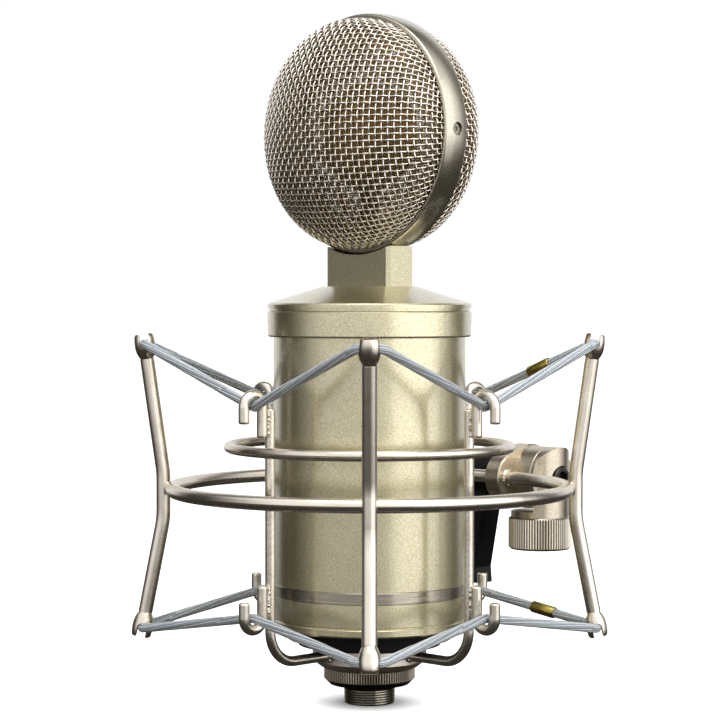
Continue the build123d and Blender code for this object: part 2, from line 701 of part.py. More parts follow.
def lever_nut():
    """Nut on the clamp bolt. The teeth at its end carry the handle round."""
    nut = along_tilt(Circle(NUT_RADIUS), NUT_FACE, TEETH_FACE)
    nut += along_tilt(toothed_round(0), TEETH_FACE, NUT_END)
    nut -= along_tilt(Circle(BOLT + RUNNING), NUT_FACE, BOLT_END - 0.5)
    return nut - along_tilt(Circle(1.5), BOLT_END - 0.5, NUT_END)


def lever_screw():
    """Screw that stops the handle coming off the nut."""
    head = along_tilt(Circle(3.9), SCREW_HEAD_X, SCREW_HEAD_X - 2)
    cross = along_tilt(Rectangle(4.2, 0.7) + Rectangle(0.7, 4.2), SCREW_HEAD_X - 1, SCREW_HEAD_X - 2)
    return head - cross + along_tilt(Circle(1.5), BOLT_END - 0.8, SCREW_HEAD_X)


def lever_spring():
    """Coil spring that pushes the handle back onto the nut's teeth."""
    length = WEB_LOW - SCREW_HEAD_X - 0.7
    coil = Helix(pitch=length / 2.5, height=length, radius=2.3)
    rod = sweep(Plane(coil @ 0, z_dir=coil % 0) * Circle(0.25), path=coil)
    return Pos(SCREW_HEAD_X + 0.35, 0, 0) * on_tilt_axis(rod)


def lever_handle():
    """Hanging handle: a hub on the tilt axis, and an arm that slants away from the cage."""
    hub = on_tilt_axis(turned(
        (0, LEVER_END), (LEVER_RADIUS - 1.6, LEVER_END), (LEVER_RADIUS, LEVER_END + 1.6),
        (LEVER_RADIUS, LEVER_OPEN - 1.5), (LEVER_RADIUS - 0.8, LEVER_OPEN), (0, LEVER_OPEN),
    ))
    side = make_face(Polyline(
        (-24.5, TILT_Z + 2), (-15.5, TILT_Z + 2), (-15.5, TILT_Z - 9), (-21.0, LEVER_FOOT_Z + 6),
        (-20.4, LEVER_FOOT_Z), (-28.2, LEVER_FOOT_Z), (-28.4, LEVER_FOOT_Z + 6), (-24.5, TILT_Z - 9),
        close=True,
    ))
    arm = Pos(0, TILT_Y, 0) * extrude(Plane.XZ * side, 5, both=True)
    arm = fillet([edge for edge in arm.edges() if abs(edge.center().Y - TILT_Y) > 4], 1.4)
    handle = hub + arm
    handle -= along_tilt(Circle(NUT_RADIUS + 0.3), LEVER_OPEN, TEETH_FACE)
    handle -= along_tilt(toothed_round(0.15), TEETH_FACE, WEB_HIGH)
    handle -= along_tilt(Circle(1.8), WEB_HIGH, WEB_LOW)
    return handle - along_tilt(Circle(4.2), WEB_LOW, LEVER_END)


# ---- write the pieces -----------------------------------------------------------------------

def main():
    os.makedirs("parts", exist_ok=True)

    save("head_ring", head_ring())
    save("head_screws", *head_screws())
    for name, side in (("front", 1), ("rear", -1)):
        save(f"{name}_grille", grille(side, 0, GRILLE_WALL))
        save(f"{name}_inner_mesh", grille(side, GRILLE_WALL + INNER_MESH_GAP, INNER_MESH_WALL))
        save(f"{name}_diaphragm", diaphragm(side))
        save(f"{name}_clamp_ring", clamp_ring(side))
    save("capsule_body", capsule_body())
    save("capsule_saddle", capsule_saddle())

    save("neck_block", neck_block())
    save("top_cap", top_cap())
    save("cap_collar", cap_collar())
    save("body_tube", body_tube())
    save("trim_band", trim_band())
    save("base_cap", base_cap())
    save("base_pad", base_pad())

    save("chassis_frame", chassis_frame())
    save("circuit_board", circuit_board())
    save("capacitors", *capacitors())
    save("valve", valve())
    save("valve_socket", valve_socket())
    save("output_transformer", output_transformer())

    save("connector_shell", connector_shell())
    save("connector_insert", connector_insert())
    save("connector_pins", *connector_pins())
    save("lock_ring", lock_ring())

    inner_posts = {angle: inner_post(angle) for angle in AXES}
    for side, angle in zip(("right", "rear", "left", "front"), AXES):
        save(f"inner_post_{side}", inner_posts[angle])
    save("inner_ring", inner_ring(inner_posts.values()))
    save("cage_disc", cage_disc(inner_posts.values()))
    save("upper_hooks", *[hook(angle, UPPER_HOOK_Z, 1) for angle in AXES])
    save("lower_hooks", *[hook(angle, LOWER_HOOK_Z, -1) for angle in AXES])

    for side, angle in zip(("rear_right", "rear_left", "front_left", "front_right"), DIAGONALS):
        save(f"outer_post_{side}", outer_post(angle))
    save("upper_tips", *around(slotted_tip(UPPER_END, UPPER_KINK_Z), DIAGONALS))
    save("lower_tips", *around(slotted_tip(LOWER_END, LOWER_KINK_Z), DIAGONALS))
    lug = lug_plate()
    save("lug_plate", lug)
    save("knuckle", knuckle())
    save("outer_ring", outer_ring(lug))

    for name, end, kink_z, hook_z, way, share in (
        ("upper", UPPER_END, UPPER_KINK_Z, UPPER_HOOK_Z, 1, 0.443),
        ("lower", LOWER_END, LOWER_KINK_Z, LOWER_HOOK_Z, -1, 0.419),
    ):
        points = loop_points(end, kink_z, hook_z, way)
        save(f"{name}_elastic", elastic_loop(points))
        save(f"{name}_crimp", crimp(points, share))

    save("swivel_body", swivel_body())
    save("clamp_bolt", clamp_bolt())
    save("thrust_washer", thrust_washer())
    save("stand_collar", stand_collar())
    save("retaining_ring", retaining_ring())
    save("lever_nut", lever_nut())
    save("lever_screw", lever_screw())
    save("lever_spring", lever_spring())
    save("lever_handle", lever_handle())


main()
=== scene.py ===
import math
import random

import bmesh
import bpy
from mathutils import Matrix, Vector


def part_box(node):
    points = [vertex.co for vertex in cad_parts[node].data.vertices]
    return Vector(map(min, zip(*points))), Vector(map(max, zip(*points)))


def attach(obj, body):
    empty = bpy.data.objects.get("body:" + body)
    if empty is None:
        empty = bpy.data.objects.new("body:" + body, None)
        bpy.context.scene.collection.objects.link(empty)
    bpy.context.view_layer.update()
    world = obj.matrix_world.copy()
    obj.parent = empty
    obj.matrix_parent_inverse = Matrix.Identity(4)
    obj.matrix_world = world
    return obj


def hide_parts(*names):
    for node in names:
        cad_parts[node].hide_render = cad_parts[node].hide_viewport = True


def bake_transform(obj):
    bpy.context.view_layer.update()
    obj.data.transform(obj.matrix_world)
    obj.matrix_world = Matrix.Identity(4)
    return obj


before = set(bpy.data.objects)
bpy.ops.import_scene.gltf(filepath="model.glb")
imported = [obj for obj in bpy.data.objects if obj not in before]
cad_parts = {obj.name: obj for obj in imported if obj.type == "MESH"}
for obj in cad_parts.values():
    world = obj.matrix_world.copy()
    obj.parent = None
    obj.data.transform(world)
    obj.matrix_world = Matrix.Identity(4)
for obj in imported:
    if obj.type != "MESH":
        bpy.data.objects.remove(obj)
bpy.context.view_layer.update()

# Valve microphone in its sprung cage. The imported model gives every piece's place. This script adds
# the woven grilles, the crowned head ring, the cage's tips, the stranded elastics, the lever's
# spring, the welds, the connector's thread and the capsule's leads, and gives each surface its
# finish.
#
# Lengths are in metres, +Z up. The microphone faces -Y, and its swivel is behind it, at +Y.

MM = 0.001
UP = Vector((0, 0, 1))
QUARTERS = (0, 90, 180, 270)
DIAGONALS = (45, 135, 225, 315)
MERGE = 1e-6  # vertices closer than this are one


def around(radius, angle, z=0.0):
    """Point on a circle about the microphone's axis."""
    turn = math.radians(angle)
    return Vector((radius * math.cos(turn), radius * math.sin(turn), z))


def solid(shape, name):
    """A bmesh as a mesh. The bmesh is spent."""
    mesh = bpy.data.meshes.new(name)
    shape.to_mesh(mesh)
    shape.free()
    return mesh


# ---- camera and studio ----------------------------------------------------------------------

VIEW_HEADING = -45  # degrees about Z from +X to where the camera stands
VIEW_DISTANCE = 0.798
EYE_HEIGHT = 0.1427
AIM = Vector((-0.00235, -0.00235, 0.1203))
LENS = 114  # mm, on a 36 mm sensor

# How bright the studio is to metal and glass, by degrees round from the camera towards its right:
# white paper behind the object, a dark screen at each side of it, lamps in front.
STUDIO_RING = (
    (-180, 1.0), (-165, 1.0), (-145, 0.05), (-130, 0.01), (-103, 0.02), (-86, 0.26), (-68, 0.9),
    (-50, 1.3), (-20, 1.25), (12, 1.4), (50, 1.4), (96, 1.3), (110, 0.12), (126, 0.05), (140, 1.0),
)
STUDIO_WRAP = 0.20  # tone where the ring's angle wraps round
STUDIO_DARK = (0.030, 0.025, 0.018, 1)  # dark ceiling at the sides and behind, and the table
STUDIO_LIGHT = (1.3, 1.3, 1.28, 1)  # ceiling over the camera
ROOM_LIGHT = 0.65  # what the room gives to matt surfaces

# Where one part of the studio fades into the next. A height is the rise of a sight line, from -1
# straight down to 1 straight up, and a depth is how far it points at the camera, from -1 to 1.
CEILING_HEIGHT = (0.42, 0.75)
TABLE_HEIGHT = (-0.18, -0.02)
PAPER_DEPTH = (-0.64, -0.76)
FRONT_DEPTH = (-0.4, -0.1)

LAMP_AIM = Vector((0, 0, 0.12))
FLOOR_HALF = 8.0
FLOOR_TO_CAMERA = (0.6, 0.6, 0.6, 1)
FLOOR_TO_OBJECT = (0.10, 0.085, 0.065, 1)
# A shadow is painted into the paper's glow round the floor's middle, under the object at rest. It
# stays there when the microphone moves.
PAINTED_CONTACT_SHADOW = (0.008, 0.022)  # radius of the painted shadow under the object, and of its soft edge
PAINTED_SHADOW_GLOW = 0.1  # how white the paper is in the painted shadow

# A colour Mix node's sockets go by number, because they share their names with its other kinds.
SHARE, FIRST, SECOND, MIXED = 0, 6, 7, 2


def camera():
    lens = bpy.data.cameras.new("camera")
    lens.lens = LENS
    lens.sensor_width = 36
    eye = bpy.data.objects.new("camera", lens)
    eye.location = around(VIEW_DISTANCE, VIEW_HEADING, EYE_HEIGHT)
    eye.rotation_euler = (AIM - eye.location).to_track_quat("-Z", "Y").to_euler()
    bpy.context.scene.collection.objects.link(eye)
    bpy.context.scene.camera = eye


def softbox(name, heading, height, distance, size, radiance):
    """Square soft lamp turned to the object. radiance is its face's tone, where white is 1."""
    lamp = bpy.data.lights.new(name, "AREA")
    lamp.size = size
    lamp.energy = radiance * math.pi * size ** 2
    holder = bpy.data.objects.new(name, lamp)
    holder.location = around(distance, VIEW_HEADING + heading, height)
    holder.rotation_euler = (LAMP_AIM - holder.location).to_track_quat("-Z", "Y").to_euler()
    bpy.context.scene.collection.objects.link(holder)


def add(tree, kind, inputs=None, **settings):
    """Adds a node. inputs gives each socket a value or another node's output."""
    node = tree.nodes.new(kind)
    for name, value in settings.items():
        setattr(node, name, value)
    for name, value in (inputs or {}).items():
        if isinstance(value, bpy.types.NodeSocket):
            tree.links.new(value, node.inputs[name])
        else:
            node.inputs[name].default_value = value
    return node


def studio_world():
    """White to the camera, and to metal and glass a studio with paper behind and screens beside."""
    world = bpy.data.worlds.new("studio")
    world.use_nodes = True
    bpy.context.scene.world = world
    tree = world.node_tree
    tree.nodes.clear()
    way = add(tree, "ShaderNodeTexCoord").outputs["Generated"]
    split = add(tree, "ShaderNodeSeparateXYZ", {"Vector": way})
    heading = add(tree, "ShaderNodeMath", {0: split.outputs["Y"], 1: split.outputs["X"]},
                  operation="ARCTAN2").outputs[0]
    share = add(tree, "ShaderNodeMapRange", {
        "Value": heading, "From Min": -math.pi, "From Max": math.pi}).outputs["Result"]
    ring = add(tree, "ShaderNodeValToRGB", {"Fac": share})
    ring.color_ramp.interpolation = "EASE"
    for end in ring.color_ramp.elements:
        end.color = (STUDIO_WRAP, STUDIO_WRAP, STUDIO_WRAP, 1)
    for angle, tone in STUDIO_RING:
        stop = ring.color_ramp.elements.new(((VIEW_HEADING + angle + 180) / 360) % 1)
        stop.color = (tone, tone, tone, 1)
    towards = add(tree, "ShaderNodeVectorMath", {
        0: way, 1: around(1, VIEW_HEADING)}, operation="DOT_PRODUCT").outputs["Value"]
    front = add(tree, "ShaderNodeMapRange", {
        "Value": towards, "From Min": FRONT_DEPTH[0], "From Max": FRONT_DEPTH[1]})
    ceiling = add(tree, "ShaderNodeMix", {
        SHARE: front.outputs["Result"], FIRST: STUDIO_DARK, SECOND: STUDIO_LIGHT},
        data_type="RGBA").outputs[MIXED]
    lift = add(tree, "ShaderNodeMapRange", {
        "Value": split.outputs["Z"], "From Min": CEILING_HEIGHT[0], "From Max": CEILING_HEIGHT[1]})
    walls = add(tree, "ShaderNodeMix", {
        SHARE: lift.outputs["Result"], FIRST: ring.outputs["Color"], SECOND: ceiling},
        data_type="RGBA").outputs[MIXED]
    behind = add(tree, "ShaderNodeMapRange", {
        "Value": towards, "From Min": PAPER_DEPTH[0], "From Max": PAPER_DEPTH[1]})
    above = add(tree, "ShaderNodeMix", {
        SHARE: behind.outputs["Result"], FIRST: walls, SECOND: (1, 1, 1, 1)},
        data_type="RGBA").outputs[MIXED]
    over = add(tree, "ShaderNodeMapRange", {
        "Value": split.outputs["Z"], "From Min": TABLE_HEIGHT[0], "From Max": TABLE_HEIGHT[1]})
    room = add(tree, "ShaderNodeMix", {
        SHARE: over.outputs["Result"], FIRST: STUDIO_DARK, SECOND: above},
        data_type="RGBA").outputs[MIXED]
    path = add(tree, "ShaderNodeLightPath")
    clear = add(tree, "ShaderNodeMath", {
        0: path.outputs["Is Camera Ray"], 1: path.outputs["Is Transmission Ray"]},
        operation="MAXIMUM").outputs[0]
    lit = add(tree, "ShaderNodeMix", {
        SHARE: path.outputs["Is Glossy Ray"],
        FIRST: (ROOM_LIGHT, ROOM_LIGHT, ROOM_LIGHT, 1), SECOND: room},
        data_type="RGBA").outputs[MIXED]
    seen = add(tree, "ShaderNodeMix", {SHARE: clear, FIRST: lit, SECOND: (1, 1, 1, 1)},
               data_type="RGBA").outputs[MIXED]
    background = add(tree, "ShaderNodeBackground", {"Color": seen})
    add(tree, "ShaderNodeOutputWorld", {"Surface": background.outputs[0]})


def floor():
    """Paper that the camera sees as white, but for a shadow painted into its glow under the object
    and the soft shadow cast on it. Metal sees past it.
    """
    paper = bpy.data.materials.new("studio_paper")
    paper.use_nodes = True
    tree = paper.node_tree
    tree.nodes.clear()
    path = add(tree, "ShaderNodeLightPath")
    place = add(tree, "ShaderNodeTexCoord").outputs["Object"]
    out = add(tree, "ShaderNodeVectorMath", {0: place}, operation="LENGTH").outputs["Value"]
    # painted shadow: the paper's glow is dimmed near the floor's middle
    clear_of_painted_shade = add(tree, "ShaderNodeMapRange", {
        "Value": out, "From Min": PAINTED_CONTACT_SHADOW[0], "From Max": PAINTED_CONTACT_SHADOW[1],
        "To Min": PAINTED_SHADOW_GLOW, "To Max": 1.0})
    seen = add(tree, "ShaderNodeMath", {
        0: path.outputs["Is Camera Ray"], 1: clear_of_painted_shade.outputs["Result"]}, operation="MULTIPLY")
    glow = add(tree, "ShaderNodeEmission", {"Strength": seen.outputs[0]})
    glow.inputs["Color"].default_value = (1, 1, 1, 1)
    colour = add(tree, "ShaderNodeMix", {
        SHARE: path.outputs["Is Camera Ray"], FIRST: FLOOR_TO_OBJECT, SECOND: FLOOR_TO_CAMERA},
        data_type="RGBA").outputs[MIXED]
    matt = add(tree, "ShaderNodeBsdfDiffuse", {"Color": colour})
    both = add(tree, "ShaderNodeAddShader", {0: matt.outputs[0], 1: glow.outputs[0]})
    add(tree, "ShaderNodeOutputMaterial", {"Surface": both.outputs[0]})
    shape = bmesh.new()
    bmesh.ops.create_grid(shape, size=FLOOR_HALF)
    mesh = solid(shape, "floor")
    mesh.materials.append(paper)
    sheet = bpy.data.objects.new("floor", mesh)
    sheet.visible_glossy = False
    sheet.visible_shadow = False
    bpy.context.scene.collection.objects.link(sheet)


camera()
bpy.context.scene.view_settings.view_transform = "Standard"
studio_world()
softbox("key", heading=55, height=0.36, distance=0.95, size=1.15, radiance=1.0)
softbox("top", heading=10, height=1.15, distance=0.40, size=0.75, radiance=3.4)
floor()


# ---- finishes -------------------------------------------------------------------------------

NOISE_LOW, NOISE_HIGH = 0.3, 0.7  # the range that a noise texture mostly keeps to
TOOL_MARK = 0.03  # width of a tool mark as a share of its length
FLAKE = 0.16  # mm. Real flake is near 0.1 mm, drawn as clumps of this size so that it shows.
ORANGE_PEEL = (0.35, 0.0025)  # mm across and high


def linear(code):
    """An sRGB hex colour as the linear colour that a socket takes."""
    levels = [int(code[n:n + 2], 16) / 255 for n in (1, 3, 5)]
    return (*[v / 12.92 if v <= 0.04045 else ((v + 0.055) / 1.055) ** 2.4 for v in levels], 1)


def per(size):
    """Texture scale that gives features of this size in mm."""
    return 1 / (size * MM)


def surface(name, **sockets):
    """A material, its node tree, its shader and its Object coordinate."""
    material = bpy.data.materials.new(name)
    material.use_nodes = True
    tree = material.node_tree
    skin = tree.nodes["Principled BSDF"]
    for socket, value in sockets.items():
        skin.inputs[socket.replace("_", " ")].default_value = value
    return material, tree, skin, add(tree, "ShaderNodeTexCoord").outputs["Object"]


def speckle(tree, place, size, low, high, detail=2.0, stretch=(1, 1, 1)):
    """Soft random value between low and high, in patches of this size in mm."""
    turned = add(tree, "ShaderNodeMapping", {"Vector": place, "Scale": stretch}).outputs[0]
    noise = add(tree, "ShaderNodeTexNoise", {
        "Vector": turned, "Scale": per(size), "Detail": detail})
    return add(tree, "ShaderNodeMapRange", {
        "Value": noise.outputs[0], "From Min": NOISE_LOW, "From Max": NOISE_HIGH,
        "To Min": low, "To Max": high}).outputs["Result"]


def tinted(tree, skin, factor, first, second):
    """Colours the shader between two hex colours."""
    mix = add(tree, "ShaderNodeMix", {
        SHARE: factor, FIRST: linear(first), SECOND: linear(second)}, data_type="RGBA")
    tree.links.new(mix.outputs[MIXED], skin.inputs["Base Color"])


def raised(tree, skin, height, relief):
    """Stands a 0 to 1 height out of the surface by this many mm."""
    bump = add(tree, "ShaderNodeBump", {"Height": height, "Strength": 1.0, "Distance": relief * MM})
    tree.links.new(bump.outputs[0], skin.inputs["Normal"])


def flake_lacquer(name, pigment, flake, dull, shiny):
    """Lacquer full of fine metal flake, sprayed. Dull pigment takes the soft light all round, and
    the flakes that lie flat give a paler shine and a glittering grain."""
    material, tree, skin, place = surface(
        name, Metallic=0.96, Coat_Weight=1.0, Coat_Roughness=0.2, Coat_IOR=1.9)
    cells = add(tree, "ShaderNodeTexVoronoi", {"Vector": place, "Scale": per(FLAKE)})
    each = add(tree, "ShaderNodeSeparateColor", {"Color": cells.outputs["Color"]}).outputs[0]
    tinted(tree, skin, each, pigment, flake)
    spread = add(tree, "ShaderNodeMapRange", {"Value": each, "To Min": dull, "To Max": shiny})
    tree.links.new(spread.outputs["Result"], skin.inputs["Roughness"])
    raised(tree, skin, speckle(tree, place, ORANGE_PEEL[0], 0, 1), ORANGE_PEEL[1])
    return material


def satin_metal(name, dark, light, roughness, grit, relief, patch=9):
    """Metal with a satin face, plated, drawn, blasted or blacked: softly bright, a little cloudy,
    with the grain of the metal under the plate."""
    material, tree, skin, place = surface(name, Metallic=1.0)
    tinted(tree, skin, speckle(tree, place, patch, 0, 1, detail=3), dark, light)
    spread = speckle(tree, place, grit * 4, roughness - 0.015, roughness + 0.015)
    tree.links.new(spread, skin.inputs["Roughness"])
    raised(tree, skin, speckle(tree, place, grit, 0, 1), relief)
    return material


def roots_in_painted_shade(name, groove, crest, root, top, inside=0.0, centre=(0, 0), dull=0.35, shiny=0.13):
    """Nickel over a thread or knurl, coloured by radius: its roots are painted dark, a painted shade
    in the grooves, and its crests are pale.
    root and top are their radii in mm about the centre. Nearer in than inside it is pale too."""
    material, tree, skin, place = surface(name, Metallic=1.0)
    middle = add(tree, "ShaderNodeMapping", {
        "Vector": place, "Location": (-centre[0] * MM, -centre[1] * MM, 0), "Scale": (1, 1, 0)})
    out = add(tree, "ShaderNodeVectorMath", {0: middle.outputs[0]}, operation="LENGTH")
    height = add(tree, "ShaderNodeMapRange", {
        "Value": out.outputs["Value"], "From Min": root * MM, "From Max": top * MM})
    face = add(tree, "ShaderNodeMath", {0: out.outputs["Value"], 1: inside * MM},
               operation="LESS_THAN")
    clear_of_painted_shade = add(tree, "ShaderNodeMath", {0: height.outputs["Result"], 1: face.outputs[0]},
                 operation="MAXIMUM").outputs[0]
    # painted shade: the roots take the dark colour and the crests the pale one
    tinted(tree, skin, clear_of_painted_shade, groove, crest)
    spread = add(tree, "ShaderNodeMapRange", {"Value": clear_of_painted_shade, "To Min": dull, "To Max": shiny})
    tree.links.new(spread.outputs["Result"], skin.inputs["Roughness"])
    raised(tree, skin, speckle(tree, place, 0.6, 0, 1), 0.003)
    return material


def turned_metal(name, dark, light, roughness, groove, axis):
    """Metal cut on a lathe or brushed round: fine lines that run round the axis."""
    material, tree, skin, place = surface(name, Metallic=1.0)
    stretch = [TOOL_MARK] * 3
    stretch[axis] = 1
    tinted(tree, skin, speckle(tree, place, groove, 0, 1, stretch=stretch), dark, light)
    spread = speckle(tree, place, groove * 3, roughness - 0.05, roughness + 0.05, stretch=stretch)
    tree.links.new(spread, skin.inputs["Roughness"])
    raised(tree, skin, speckle(tree, place, groove, 0, 1, stretch=stretch), 0.004)
    return material


def moulded(name, dark, light, roughness, grit, relief, **sockets):
    """Moulded plastic, rubber or resin: a little uneven in tone, with a fine matt grain. Real grain
    is about 0.1 mm, drawn a few times as coarse so that it shows."""
    material, tree, skin, place = surface(name, **sockets)
    tinted(tree, skin, speckle(tree, place, grit * 6, 0, 1), dark, light)
    spread = speckle(tree, place, grit * 3, roughness - 0.06, roughness + 0.06)
    tree.links.new(spread, skin.inputs["Roughness"])
    raised(tree, skin, speckle(tree, place, grit, 0, 1), relief)
    return material


def elastic_yarn():
    """Elastic strands in a slick polyester yarn: some white, some grey, over a slate-grey core that
    shows between them. Each strand's own tone is in the piece's strand_tone attribute. Real fibres
    are near 0.05 mm, and the bump is drawn at 0.3 mm so that it shows."""
    material, tree, skin, place = surface(
        "slick_elastic_yarn", Coat_Weight=0.5, Coat_Roughness=0.2, Coat_IOR=1.6)
    tone = add(tree, "ShaderNodeAttribute", attribute_name="strand_tone").outputs["Fac"]
    worn = add(tree, "ShaderNodeMath", {0: tone, 1: speckle(tree, place, 1.5, 0.85, 1.0)},
               operation="MULTIPLY")
    tinted(tree, skin, worn.outputs[0], "#475660", "#EEF5FB")
    tree.links.new(speckle(tree, place, 1, 0.28, 0.42), skin.inputs["Roughness"])
    raised(tree, skin, speckle(tree, place, 0.3, 0, 1), 0.006)
    return material


def valve_glass():
    """Blown glass, faintly green, with slight waves."""
    material, tree, skin, place = surface(
        "blown_glass", Transmission_Weight=1.0, IOR=1.5, Roughness=0.02)
    tinted(tree, skin, speckle(tree, place, 8, 0, 1), "#E8F2EC", "#F7FBF9")
    raised(tree, skin, speckle(tree, place, 5, 0, 1), 0.02)
    return material


# drawn wire, plated in satin nickel: even and softly bright
CAGE_STEEL = satin_metal("satin_nickel_wire", "#D4CBBD", "#E2DBCF", 0.28, 1.6, 0.002)
# the thinner wire, plated over its rough drawn skin: bright with fine ripples
POST_STEEL = satin_metal("rough_nickel_wire", "#CBC2B3", "#E2DBCF", 0.26, 1.2, 0.012)
# plate over the weld's pitted metal: sparkles at every bump
WELD_STEEL = satin_metal("nickel_over_weld", "#CCC3B4", "#E8E2D7", 0.2, 0.5, 0.02, patch=3)
# bright drawn wire of the woven grille
MESH_STEEL = satin_metal("nickel_mesh_wire", "#E0D9CD", "#F2ECE3", 0.19, 0.3, 0.002)
# woven bronze, dull and warm, that the light passes through
GAUZE_BRONZE = satin_metal("fine_bronze_gauze", "#8A7350", "#A98C60", 0.4, 0.3, 0.002)
# turned and polished before it was plated, so it is smoother than the wire
TIP_STEEL = satin_metal("polished_nickel_tip", "#CFC6B7", "#DED6C9", 0.27, 1.6, 0.001)
# brass tube squeezed flat with pliers, gone dull
CRIMP_BRASS = satin_metal("dull_crimp_brass", "#8A7B3D", "#B3A357", 0.3, 0.3, 0.01)
# drawn and tempered wire with a dull bright skin
SPRING_STEEL = turned_metal("spring_steel", "#8F8C86", "#ABA8A2", 0.25, 0.2, axis=0)
# nickel-plated brass thread, pale on its crests, with painted shade near black in its roots
CONNECTOR_NICKEL = roots_in_painted_shade("bright_nickel_thread", "#17130C", "#D9D0BD", 8.55, 8.93)
# the same lacquer as the body's on the head's ring, where it is greyer and shines more sharply
RING_LACQUER = flake_lacquer("champagne_ring_lacquer", "#9C9580", "#C4BDAB", 0.36, 0.25)
# extruded vinyl, smooth and strongly coloured
LEAD_RED = moulded("red_wire_sleeve", "#8E1F14", "#B5301F", 0.45, 0.2, 0.005)
LEAD_BLUE = moulded("blue_wire_sleeve", "#1C2C66", "#2B4393", 0.45, 0.2, 0.005)
ELASTIC = elastic_yarn()

FINISHES = (
    # sprayed flake over cast and turned metal: a pale champagne shine with a glittering grain
    (flake_lacquer("champagne_flake_lacquer", "#A99D60", "#E4DCC1", 0.44, 0.27),
     ("neck_block", "top_cap", "cap_collar", "body_tube", "base_cap")),
    # a strip of nickel brushed round its length: fine level lines
    (turned_metal("brushed_trim_nickel", "#A0978A", "#BFB6A6", 0.24, 0.5, axis=2), ("trim_band",)),
    (CAGE_STEEL, ("inner_ring", "outer_ring", "upper_hooks", "lower_hooks",
                  *["outer_post_" + corner for corner in
                    ("rear_right", "rear_left", "front_left", "front_right")])),
    (POST_STEEL, tuple("inner_post_" + side for side in ("right", "rear", "left", "front"))),
    (RING_LACQUER, ("head_ring",)),
    (TIP_STEEL, ("upper_tips", "lower_tips")),
    # die-cast, blasted and plated: coarse sparkling grain. Real grit leaves 0.1 mm pits, drawn
    # as 0.5 mm so that they show
    (satin_metal("blasted_nickel_casting", "#A3967F", "#E4DAC8", 0.3, 0.5, 0.014, patch=0.3),
     ("swivel_body", "knuckle", "lug_plate")),
    # the same plate on a knurl, with painted shade between its teeth
    (roots_in_painted_shade("blasted_nickel_knurl", "#5D5340", "#F1E9DA", 11.36, 11.72, inside=11.25,
                 centre=(7.3, 82.9), shiny=0.28), ("stand_collar",)),
    # pressed disc, satin
    (satin_metal("satin_disc_nickel", "#C9C1B3", "#DDD6CA", 0.28, 1.5, 0.004), ("cage_disc",)),
    # black nickel, paler on the knurl's teeth and near black at their roots
    (roots_in_painted_shade("black_nickel_knurl", "#15110B", "#A79D8B", 15.5, 15.92, shiny=0.24),
     ("lock_ring",)),
    # turned brass, oiled
    (turned_metal("turned_brass_washer", "#A79A6E", "#BDB184", 0.3, 0.2, axis=0),
     ("thrust_washer", "lever_nut")),
    (SPRING_STEEL, ("retaining_ring",)),
    # steel blacked in a hot salt bath: a deep grey with an oily shine
    (satin_metal("black_oxide_screw", "#3A3733", "#57534C", 0.3, 0.3, 0.006),
     ("clamp_bolt", "lever_screw")),
    # zinc-plated steel, a little dull
    (satin_metal("bright_screw_steel", "#8D877B", "#A8A296", 0.3, 0.3, 0.006), ("head_screws",)),
    # glass-filled nylon from a grained mould: near black, with a dull sheen
    (moulded("black_nylon", "#050505", "#0B0B0A", 0.42, 0.35, 0.008, Specular_IOR_Level=0.25),
     ("lever_handle",)),
    # moulded rubber, matt black
    (moulded("black_rubber", "#040403", "#0C0B09", 0.62, 0.4, 0.02, Specular_IOR_Level=0.2),
     ("base_pad",)),
    # moulded acetal, smooth and black
    (moulded("black_acetal", "#151412", "#211F1C", 0.4, 0.3, 0.006),
     ("connector_insert", "capsule_saddle")),
    # moulded phenolic resin, brown and half matt
    (moulded("brown_phenolic", "#3A2418", "#4C3122", 0.4, 0.4, 0.008), ("valve_socket",)),
    # gold sputtered on a stretched film: a smooth warm mirror
    (satin_metal("gold_sputtered_film", "#B8893A", "#D9AE58", 0.22, 1.5, 0.01),
     ("front_diaphragm", "rear_diaphragm")),
    # brass faced on a lathe: rings of fine tool marks
    (turned_metal("turned_capsule_brass", "#8B6F3E", "#A8884F", 0.3, 0.2, axis=1),
     ("front_clamp_ring", "rear_clamp_ring", "capsule_body")),
    # gold plate on turned pins, bright
    (satin_metal("gold_plated_pin", "#C79A3D", "#DDB55C", 0.18, 0.3, 0.003), ("connector_pins",)),
    # brushed sheet, with a soft grey shine
    (turned_metal("brushed_aluminium", "#A9ABAD", "#C4C6C8", 0.35, 0.3, axis=2),
     ("chassis_frame",)),
    # green solder mask under a thin gloss
    (moulded("green_solder_mask", "#123F22", "#1D5C33", 0.35, 0.5, 0.01, Coat_Weight=0.4),
     ("circuit_board",)),
    # dipped film capacitors, glossy orange-brown
    (moulded("polyester_capacitor_film", "#8E3B16", "#B0501F", 0.3, 0.5, 0.01, Coat_Weight=0.5),
     ("capacitors",)),
    (valve_glass(), ("valve",)),
    # stacked iron sheets under varnish, dark grey
    (moulded("varnished_iron_laminations", "#3B3A38", "#55534F", 0.45, 0.35, 0.02, Metallic=0.6),
     ("output_transformer",)),
)

for finish, nodes in FINISHES:
    for node in nodes:
        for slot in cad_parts[node].material_slots:
            slot.material = finish


# ---- pieces ---------------------------------------------------------------------------------

def piece(name, mesh, finish, body=None, stands_for=()):
    """A finished mesh as a piece of the object. It rides on body, if one is given."""
    mesh.materials.clear()
    mesh.materials.append(finish)
    mesh.shade_smooth()
    added = bpy.data.objects.new(name, mesh)
    bpy.context.scene.collection.objects.link(added)
    if body:
        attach(added, body)
    if stands_for:
        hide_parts(*stands_for)
    return added


